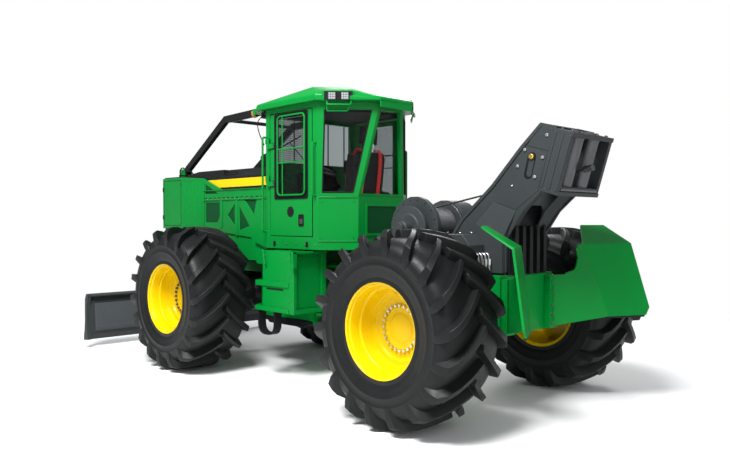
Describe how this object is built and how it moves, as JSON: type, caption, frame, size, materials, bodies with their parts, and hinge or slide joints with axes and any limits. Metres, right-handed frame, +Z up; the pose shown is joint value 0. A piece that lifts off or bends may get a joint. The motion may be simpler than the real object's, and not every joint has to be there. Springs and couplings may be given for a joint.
{
  "type": "articulated cable skidder",
  "caption": "Forestry skidder hinged in the middle, with a cab and push blade in front and a cable winch, arch and log guards behind.",
  "frame": {"origin": "middle of the overall box, at ground level under the tyres", "axes": "+Z up, +Y towards the rear of the machine, +X to its left; it faces -Y"},
  "size_m": [3.25, 7.1274, 3.345],
  "materials": {
    "green_paint": "gloss machine enamel with fine orange peel",
    "yellow_paint": "gloss enamel",
    "charcoal_paint": "satin powder coat",
    "black_paint": "satin enamel",
    "tyre_rubber": "matt moulded rubber",
    "bare_steel": "worn bright steel",
    "chrome_rod": "polished",
    "window_glass": "clear, lightly tinted",
    "seat_cloth": "woven black cloth",
    "moulded_plastic": "grained"
  },
  "bodies": {
    "rear": {"rear_frame": "green_paint", "rear_axle": "black_paint", "winch_housing": "charcoal_paint", "winch_cable": "bare_steel", "arch": "charcoal_paint", "fairlead_frame": "charcoal_paint", "butt_plate": "black_paint", "valve_box": "black_paint", "log_guard_left": "green_paint", "log_guard_right": "green_paint"},
    "front": {"front_frame": "green_paint", "belly_guard": "black_paint", "engine_block": "black_paint", "grille": "green_paint", "hood": "black_paint", "engine_side_left": "green_paint", "engine_side_right": "green_paint", "limb_riser_left": "black_paint", "limb_riser_right": "black_paint", "cab_lower": "green_paint", "cab_frame": "green_paint", "cab_roof": "green_paint", "windshield": "window_glass", "rear_window": "window_glass", "operator_seat": "seat_cloth", "control_console": "moulded_plastic", "dashboard": "moulded_plastic", "step_box_left": "green_paint", "step_box_right": "green_paint"},
    "front_axle": {"front_axle": "black_paint"},
    "blade": {"blade": "charcoal_paint", "blade_arms": "charcoal_paint"},
    "winch_drum": {"winch_drum": "bare_steel"},
    "wheel_rear_left": {"rim_rear_left": "yellow_paint", "tyre_rear_left": "tyre_rubber"},
    "wheel_front_left": {"rim_front_left": "yellow_paint", "tyre_front_left": "tyre_rubber"},
    "door_left": {"cab_door_left": "green_paint", "door_glass_left": "window_glass"},
    "roller_left": {"fairlead_roller_left": "bare_steel"},
    "steer_left_barrel": {"steer_left_barrel": "black_paint"},
    "steer_left_rod": {"steer_left_rod": "chrome_rod"},
    "lift_left_barrel": {"lift_left_barrel": "black_paint"},
    "lift_left_rod": {"lift_left_rod": "chrome_rod"},
    "wheel_rear_right": {"rim_rear_right": "yellow_paint", "tyre_rear_right": "tyre_rubber"},
    "wheel_front_right": {"rim_front_right": "yellow_paint", "tyre_front_right": "tyre_rubber"},
    "door_right": {"cab_door_right": "green_paint", "door_glass_right": "window_glass"},
    "roller_right": {"fairlead_roller_right": "bare_steel"},
    "steer_right_barrel": {"steer_right_barrel": "black_paint"},
    "steer_right_rod": {"steer_right_rod": "chrome_rod"},
    "lift_right_barrel": {"lift_right_barrel": "black_paint"},
    "lift_right_rod": {"lift_right_rod": "chrome_rod"}
  },
  "joints": [
    {"name": "steering", "type": "hinge", "parent": "rear", "child": "front", "pos_m": [0, 0.57627, 0.94], "axis": [0, 0, 1], "range_deg": [-45, 45]},
    {"name": "axle_swing", "type": "hinge", "parent": "front", "child": "front_axle", "pos_m": [0, -1.25873, 0.88], "axis": [0, 1, 0], "range_deg": [-10, 10]},
    {"name": "blade_lift", "type": "hinge", "parent": "front", "child": "blade", "pos_m": [0, -1.97373, 0.7], "axis": [-1, 0, 0], "range_deg": [-14, 35]},
    {"name": "winch_spin", "type": "hinge", "parent": "rear", "child": "winch_drum", "pos_m": [0.08, 1.70627, 1.754], "axis": [1, 0, 0], "continuous": true},
    {"name": "wheel_rear_left", "type": "hinge", "parent": "rear", "child": "wheel_rear_left", "pos_m": [1.2375, 2.41127, 0.88], "axis": [1, 0, 0], "continuous": true},
    {"name": "wheel_front_left", "type": "hinge", "parent": "front_axle", "child": "wheel_front_left", "pos_m": [1.2375, -1.25873, 0.88], "axis": [1, 0, 0], "continuous": true},
    {"name": "door_left", "type": "hinge", "parent": "front", "child": "door_left", "pos_m": [0.74, -0.28573, 2.3], "axis": [0, 0, -1], "range_deg": [0, 95]},
    {"name": "roller_left", "type": "hinge", "parent": "rear", "child": "roller_left", "pos_m": [0.135, 3.37735, 2.34701], "axis": [0, 0.2841, 0.9588], "continuous": true},
    {"name": "steer_left_swing", "type": "hinge", "parent": "rear", "child": "steer_left_barrel", "pos_m": [0.3, 1.52627, 0.95], "axis": [0, 0, 1], "range_deg": [-3, 3]},
    {"name": "steer_left_slide", "type": "slide", "parent": "steer_left_barrel", "child": "steer_left_rod", "axis": [0, -1, 0], "range_m": [-0.2145, 0.2145]},
    {"name": "lift_left_swing", "type": "hinge", "parent": "front", "child": "lift_left_barrel", "pos_m": [0.45, -2.17373, 1.5], "axis": [-1, 0, 0], "range_deg": [-5, 10]},
    {"name": "lift_left_slide", "type": "slide", "parent": "lift_left_barrel", "child": "lift_left_rod", "axis": [0, -0.4138, -0.9104], "range_m": [-0.338, 0.137]},
    {"name": "wheel_rear_right", "type": "hinge", "parent": "rear", "child": "wheel_rear_right", "pos_m": [-1.2375, 2.41127, 0.88], "axis": [1, 0, 0], "continuous": true},
    {"name": "wheel_front_right", "type": "hinge", "parent": "front_axle", "child": "wheel_front_right", "pos_m": [-1.2375, -1.25873, 0.88], "axis": [1, 0, 0], "continuous": true},
    {"name": "door_right", "type": "hinge", "parent": "front", "child": "door_right", "pos_m": [-0.74, -0.28573, 2.3], "axis": [0, 0, 1], "range_deg": [0, 95]},
    {"name": "roller_right", "type": "hinge", "parent": "rear", "child": "roller_right", "pos_m": [-0.135, 3.37735, 2.34701], "axis": [0, 0.2841, 0.9588], "continuous": true},
    {"name": "steer_right_swing", "type": "hinge", "parent": "rear", "child": "steer_right_barrel", "pos_m": [-0.3, 1.52627, 0.95], "axis": [0, 0, 1], "range_deg": [-3, 3]},
    {"name": "steer_right_slide", "type": "slide", "parent": "steer_right_barrel", "child": "steer_right_rod", "axis": [0, -1, 0], "range_m": [-0.2145, 0.2145]},
    {"name": "lift_right_swing", "type": "hinge", "parent": "front", "child": "lift_right_barrel", "pos_m": [-0.45, -2.17373, 1.5], "axis": [-1, 0, 0], "range_deg": [-5, 10]},
    {"name": "lift_right_slide", "type": "slide", "parent": "lift_right_barrel", "child": "lift_right_rod", "axis": [0, -0.4138, -0.9104], "range_m": [-0.338, 0.137]}
  ],
  "couplings": [
    {"joint": "steer_left_swing", "follows": "steering", "ratio": -0.028},
    {"joint": "steer_left_slide", "follows": "steering", "m_per_rad": -0.272},
    {"joint": "lift_left_swing", "follows": "blade_lift", "ratio": 0.27},
    {"joint": "lift_left_slide", "follows": "blade_lift", "m_per_rad": -0.55},
    {"joint": "steer_right_swing", "follows": "steering", "ratio": -0.028},
    {"joint": "steer_right_slide", "follows": "steering", "m_per_rad": 0.272},
    {"joint": "lift_right_swing", "follows": "blade_lift", "ratio": 0.27},
    {"joint": "lift_right_slide", "follows": "blade_lift", "m_per_rad": -0.55}
  ]
}
